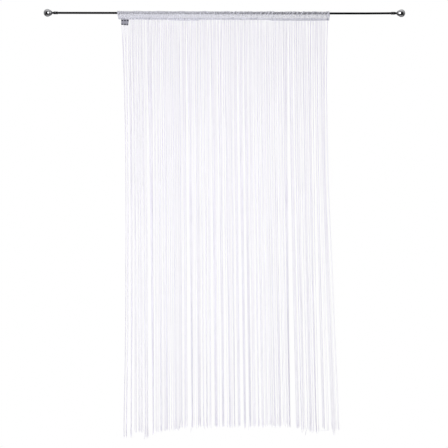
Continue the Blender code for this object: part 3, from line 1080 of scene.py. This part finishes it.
def heading_section(row, edge_z):
    """A row's side (-1 front, 1 back, 0 over the rod), height, angle and place along the section."""
    if LEG_ROWS < row < LEG_ROWS + ARC_ROWS:
        angle = math.pi * (row - LEG_ROWS) / ARC_ROWS
        return 0.0, POCKET_HALF * math.sin(angle), angle, POCKET_HALF * angle
    front = row <= LEG_ROWS
    down = (LEG_ROWS - row if front else row - LEG_ROWS - ARC_ROWS) / LEG_ROWS
    z = edge_z * down
    along = z if front else math.pi * POCKET_HALF - z
    return (-1.0 if front else 1.0), z, (0.0 if front else math.pi), along


def pocket_half_at(z):
    """How far the middle of the flat cloth is from the middle of the heading at a height below the rod."""
    return POCKET_HALF + (SEAM_HALF - POCKET_HALF) * smooth_step(z / SEAM_TOP_Z)


def face_half_at(x, z, ripple, stand):
    """The same with its billows and creases, the seam's lip and the groove that its stitches pull."""
    belly = BILLOW * math.sin(math.pi * min(z / SEAM_TOP_Z, 1.0)) * (ripple - FLAT_RIPPLE)
    beat = 1.0 - GROOVE_BEAT + GROOVE_BEAT * math.cos(math.tau * x / STITCH_PITCH)
    groove = STITCH_GROOVE * hump(z - STITCH_Z, GROOVE_HALF) * beat
    return pocket_half_at(z) + belly + stand - groove + LIP * hump(z - SEAM_TOP_Z, LIP_HALF)


def heading_look(x, z, side, mask, hem, seam, tuck):
    """The cloth's cover, raised where creases, hems and the seam thicken it, and the shade painted on its
    colour: on the gathered cloth, the stitch line, tucks and hems, less on creases.
    """
    line = hump(z - STITCH_Z, LINE_HALF) if side else 0.0
    line *= LINE_PAINTED_SHADE + LINE_CHANGE * field.noise(Vector((x / LINE_PATCH, side, 0.0)))
    shade = read_table(COVER, "x", "shade", x, 1.0) * (1.0 - CREASE_PAINTED_LIGHT * mask)
    cover = read_table(COVER, "x", "cover", x, 1.0)
    thick = max(mask, HEM_COVER * hem, SEAM_COVER * seam, LINE_COVER * line, tuck)
    return cover + (FULL_COVER - cover) * thick, max(shade, LINE_COVER * line, tuck, HEM_PAINTED_SHADE * hem)


def heading_corner(column, row):
    """A corner of the heading: its place, its place on the flat cloth, its cover and its painted shade."""
    u = column / HEADING_COLUMNS
    level_x = LEVEL_ENDS[0] + (LEVEL_ENDS[1] - LEVEL_ENDS[0]) * u
    edge_z = read_table(HEM_EDGE, "x", "z", level_x) + EDGE_WAVE * math.sin(EDGE_RATE * level_x)
    side, z, angle, along = heading_section(row, edge_z)
    left, right = edges_at(HEADING_ENDS, z)
    x = left + (right - left) * u
    stand, mask = crease_at(x, along)
    ripple = RIPPLE_LEVEL + add_waves(RIPPLES, x)
    hem = smooth_step((END_HEM - min(x - left, right - x)) / SOFT_EDGE)
    if side == 0.0:
        rise = read_table(RISES, "x", "rise", x) * (RISE_LEVEL + RISE_RIPPLE * ripple)
        reach = POCKET_HALF + stand
        place = Vector((x, -math.cos(angle) * reach, math.sin(angle) * (reach + rise)))
        seam, tuck = 0.0, 0.0
    else:
        seam = smooth_step((SEAM_TOP_Z + SEAM_START - z) / SOFT_EDGE)
        tuck = tuck_at(x, z)
        sunk = TUCK_SINK * tuck * (1.0 - seam)
        place = Vector((x, side * (face_half_at(x, z, ripple, stand) - sunk), z))
    place.z -= read_table(SAGS, "x", "sag", x)
    return place, (x, along), *heading_look(x, z, side, mask, hem, seam, tuck)


def make_heading():
    """The rod pocket: a sheer strip round the rod, creased, seamed above its raw lower edge."""
    rows = 2 * LEG_ROWS + ARC_ROWS
    # The layers attribute carries the painted shade of the cloth
    shape = make_cloth(HEADING_COLUMNS, rows, heading_corner, ("cover", "layers"))
    heading = finish_mesh("pocket_heading", shape, heading_material())
    thicken(heading, CLOTH)
    show_piece(heading, "heading_cloth", "heading")
    return heading


def stitch_template():
    """One stitch: a short thread with tapered ends, lying along X."""
    shape = bmesh.new()
    bmesh.ops.create_uvsphere(shape, u_segments=6, v_segments=5, radius=1.0)
    lay_along_x(shape)
    bmesh.ops.scale(shape, verts=shape.verts, vec=(STITCH_LENGTH / 2.0, STITCH_THREAD, STITCH_THREAD))
    return keep_template("stitch_template", shape, "X")


def make_stitching(material):
    """A row of stitches on each face of the heading, along its seam."""
    template = stitch_template()
    shape = bmesh.new()
    draw = random.Random(SEED)
    left, right = edges_at(HEADING_ENDS, STITCH_Z)
    for side in (-1.0, 1.0):
        for number in range(1, int((right - left) / STITCH_PITCH)):
            x = left + number * STITCH_PITCH
            jitter = draw.uniform(-STITCH_JITTER, STITCH_JITTER) * MM
            z = STITCH_Z + SEAM_WAVE * math.sin(SEAM_RATE * x) + jitter
            corners = add_copy(shape, template)[0]
            turn = Matrix.Rotation(draw.uniform(-STITCH_TURN, STITCH_TURN), 3, "Y")
            y = side * (pocket_half_at(z) + CLOTH / 2.0 + STITCH_STAND)
            z -= read_table(SAGS, "x", "sag", x)
            tone = draw.uniform(*STITCH_TONES)
            tone_layer = shape.verts.layers.float["tone"]
            for corner in corners:
                corner.co = turn @ corner.co + Vector((x, y, z))
                corner[tone_layer] = tone
    bpy.data.meshes.remove(template)
    stitching = finish_mesh("seam_stitching", shape, material)
    show_piece(stitching, "heading_cloth")
    return stitching


# ---------------- strings


def tube_template(sides, cuts):
    """A tube of unit radius and length that hangs from its top, cut across at shares of its length."""
    shape = make_cylinder(sides, 1.0, 1.0)
    bmesh.ops.translate(shape, verts=shape.verts, vec=(0.0, 0.0, -0.5))
    for cut in cuts:
        cut_across(shape, (0.0, 0.0, -cut), (0.0, 0.0, 1.0))
    return keep_template("tube_template", shape, "Z")


def add_tube(shape, template, path, radius, tone, length, level=False):
    """Add a hanging or level tube, whose path and radius depend on the share of the way along it."""
    corners, faces = add_copy(shape, template)
    tone_layer = shape.verts.layers.float["tone"]
    uv_layer = shape.loops.layers.uv["cloth"]
    for face in faces:
        for loop in face.loops:
            turn, along = loop[uv_layer].uv
            loop[uv_layer].uv = (turn, along * length + FLECK_SHIFT * tone)
    for corner in corners:
        side, depth, down = corner.co.x, corner.co.y, -corner.co.z
        around = Vector((0.0, depth, side) if level else (side, depth, 0.0))
        corner.co = path(down) + around * radius(down)
        corner[tone_layer] = tone


def seam_share(order):
    """How far along the fringe's top a string hangs, from its place in the order of the strings."""
    if order < EVEN_SHARE:
        return order * EVEN_REACH / EVEN_SHARE
    return EVEN_REACH + (order - EVEN_SHARE) * (1.0 - EVEN_REACH) / (1.0 - EVEN_SHARE)


def plan_strings():
    """Every string's facts: where it leaves the seam, its bunch, its place in the bunch and its end."""
    draw = random.Random(SEED)
    total = sum(bunch["strings"] for bunch in BUNCHES)
    tails = {row["foot"]: row for row in TAILS}
    strings = []
    for bunch in BUNCHES:
        count = bunch["strings"]
        middle = seam_share((len(strings) + count / 2.0) / total)
        arch = read_table(FRINGE_ENDS, "x", "z", bunch["foot"] * MM)
        for number in range(count):
            order = len(strings) + 0.5
            falls_in = FALL_IN * (number % FALL_GROUP) if draw.random() < PAIRED else 0.0
            place = number + 0.5 + draw.uniform(-BUNCH_JITTER, BUNCH_JITTER)
            low_order = order + falls_in
            strings.append({
                "top_share": seam_share((order + draw.uniform(-TOP_JITTER, TOP_JITTER)) / total),
                "low_share": seam_share((low_order + draw.uniform(-LOW_JITTER, LOW_JITTER)) / total),
                "bunch_share": middle,
                "foot": bunch["foot"] * MM,
                "across": SPREAD_REACH * bunch["spread"] * (2.0 * place / count - 1.0) * MM,
                "depth": draw.uniform(*DEPTHS) * MM,
                "end_z": arch + draw.uniform(*ENDS) * MM,
                "phase": draw.uniform(0.0, math.tau),
                "sway": draw.uniform(*SWAYS) * MM,
                "tone": draw.uniform(*TONES),
                "swing": draw.uniform(*SWINGS) * MM,
            })
            if number == 0 and bunch["foot"] in tails:
                tail = tails[bunch["foot"]]
                strings[-1].update(end_z=arch - tail["longer"] * MM, swing=tail["swing"] * MM)
    return strings


def hanging_x(share, z):
    """Where a lone string at a share of the fringe's width hangs at a height."""
    left_start, right_start = edges_at(FRINGE_EDGES, FLARE_Z)
    left, right = edges_at(FRINGE_EDGES, z)
    near_left = math.exp(-share / FLARE_LEFT)
    near_right = math.exp((share - 1.0) / FLARE_RIGHT)
    x = left_start + (right_start - left_start) * share
    x += near_left * (left - left_start) + near_right * (right - right_start)
    power = DRIFT_LEFT_POWER * DRIFT_POWER_GROWTH ** share
    drift = DRIFT * max((FLARE_Z - z) / (FLARE_Z - FOOT_Z), 0.0) ** power
    return x + (1.0 - near_left - near_right) * drift


def string_place(string, down):
    """The middle of a string at a share of the way down it."""
    z = STRING_TOP_Z + (string["end_z"] - STRING_TOP_Z) * down
    fall = min((STRING_TOP_Z - z) / (STRING_TOP_Z - FOOT_Z), 1.0)
    gathered = fall ** GATHER_POWER
    fallen_in = 1.0 - math.exp(-fall / PAIRED_BY)
    share = string["top_share"] + (string["low_share"] - string["top_share"]) * fallen_in
    bunch = hanging_x(string["bunch_share"], z)
    to_foot = (string["foot"] - hanging_x(string["bunch_share"], FOOT_Z)) * fall
    x = bunch + to_foot + (hanging_x(share, z) - bunch) * (1.0 - gathered) + string["across"] * gathered
    wander = math.sin(SWAY_RATES[0] * fall + string["phase"])
    wander += SWAY_SECOND * math.sin(SWAY_RATES[1] * fall - string["phase"])
    x += string["sway"] * wander * math.sin(math.pi * fall) * SWAY_SHOWN
    x += string["swing"] * smooth_step((down - SWING_START) / (1.0 - SWING_START))
    y = fall * add_waves(FRINGE_WAVES, x) * MM + string["depth"] * fall
    y += string["sway"] * fall * math.cos(DEPTH_RATE * fall + string["phase"])
    return Vector((x, y, z))


def string_radius(down):
    """A string's radius at a share of the way down it: its end is looser."""
    return YARN_RADIUS * (1.0 + END_FLARE * smooth_step((down - FLARE_START) / (1.0 - FLARE_START)))


def filament_radius(down):
    """A filament's radius at a share of the way down it."""
    return FILAMENT_RADIUS * (1.0 - FILAMENT_TAPER * down)


def add_frayed_end(shape, template, string, draw):
    """A few loose filaments below a string's cut end."""
    start = string_place(string, 1.0) + Vector((0.0, 0.0, FILAMENT_OVERLAP))
    lean = string["swing"] / SWING_LENGTH
    turn = draw.uniform(0.0, math.tau)
    for number in range(FILAMENTS):
        angle = turn + math.tau * number / FILAMENTS
        side = Vector((math.cos(angle), math.sin(angle), 0.0))
        splay = draw.uniform(*FILAMENT_SPLAYS) * MM
        length = FILAMENT_LENGTH * draw.uniform(*FILAMENT_SHARES)

        def path(down):
            bent = side * (FILAMENT_INSET + splay * down ** SPLAY_POWER)
            return start + bent + Vector((lean * length * down, 0.0, -length * down))

        add_tube(shape, template, path, filament_radius, string["tone"], length)


def loose_thread_place(share):
    """The middle of the loose thread at a share of the way along it."""
    left, right = LOOSE_THREAD["from"], LOOSE_THREAD["to"]
    z = LOOSE_THREAD["z"] - 4.0 * LOOSE_THREAD["sag"] * share * (1.0 - share)
    return Vector((left + (right - left) * share, LOOSE_THREAD["y"], z)) * MM


def add_loose_thread(shape, template):
    """The thread that sags between two bunches near the right end."""
    radius = LOOSE_THREAD["radius"] * MM
    length = (LOOSE_THREAD["to"] - LOOSE_THREAD["from"]) * MM
    tone = LOOSE_THREAD_TONE
    add_tube(shape, template, loose_thread_place, lambda share: radius, tone, length, level=True)


def make_strings(strings, material):
    """The fringe: every string hangs from the seam, leans into its bunch and is frayed at its end."""
    cuts = [LAST_PARTS[0] * part / STRING_PARTS for part in range(1, STRING_PARTS)] + list(LAST_PARTS)
    template = tube_template(STRING_SIDES, cuts)
    filament = tube_template(FILAMENT_SIDES, (0.5,))
    draw = random.Random(SEED + 1)
    shape = bmesh.new()
    for string in strings:
        length = STRING_TOP_Z - string["end_z"]
        add_tube(shape, template, partial(string_place, string), string_radius, string["tone"], length)
        add_frayed_end(shape, filament, string, draw)
    thread_cuts = [part / LOOSE_THREAD_PARTS for part in range(1, LOOSE_THREAD_PARTS)]
    thread = tube_template(LOOSE_THREAD_SIDES, thread_cuts)
    add_loose_thread(shape, thread)
    for used in (template, filament, thread):
        bpy.data.meshes.remove(used)
    fringe = finish_mesh("string_fringe", shape, material, sharp=80.0)
    show_piece(fringe, "string_yarn", "strings")
    return fringe


# ---------------- label


def label_corner(column, row):
    """A corner of the label: its top is caught in the seam, and its lower edge hangs a little forward."""
    across, down = column / LABEL_COLUMNS, row / LABEL_ROWS
    bottom_z = LABEL_LEFT_DROP + (LABEL_RIGHT_DROP - LABEL_LEFT_DROP) * across
    z = LABEL_TOP_Z + (bottom_z - LABEL_TOP_Z) * down
    x = LABEL_LEFT_X + (LABEL_RIGHT_X - LABEL_TAPER * down ** 2 - LABEL_LEFT_X) * across
    free = smooth_step((down - LABEL_CAUGHT) / LABEL_FREES)
    wave = LABEL_WAVE * math.sin(LABEL_WAVE_RATE * across + LABEL_WAVE_START)
    y = -LABEL_FRONT - free * LABEL_STAND - LABEL_CURL * down ** 2 - wave * down
    return Vector((x, y, z)), (x - LABEL_LEFT_X, z - LABEL_TOP_Z)


def make_label():
    """The small woven label under the heading's left end."""
    shape = make_cloth(LABEL_COLUMNS, LABEL_ROWS, label_corner)
    label = finish_mesh("sewn_label", shape, label_material())
    thicken(label, LABEL_THICKNESS)
    show_piece(label, "label_cloth", "label")
    return label


# ---------------- the whole


def main():
    """Make the studio and every piece."""
    bpy.context.scene.view_settings.view_transform = "Standard"
    make_camera()
    make_world()
    make_softboxes()
    make_floor()
    make_rod()
    make_finial("ball_end_left", -1.0, "finial_left")
    make_finial("ball_end_right", 1.0, "finial_right")
    heading = make_heading()
    stitching = make_stitching(yarn_material("sewing_thread", THREAD_COLOURS, THREAD_PLY))
    fringe = make_strings(plan_strings(), yarn_material("white_plied_yarn", YARN_COLOURS, YARN_PLY))
    label = make_label()


main()
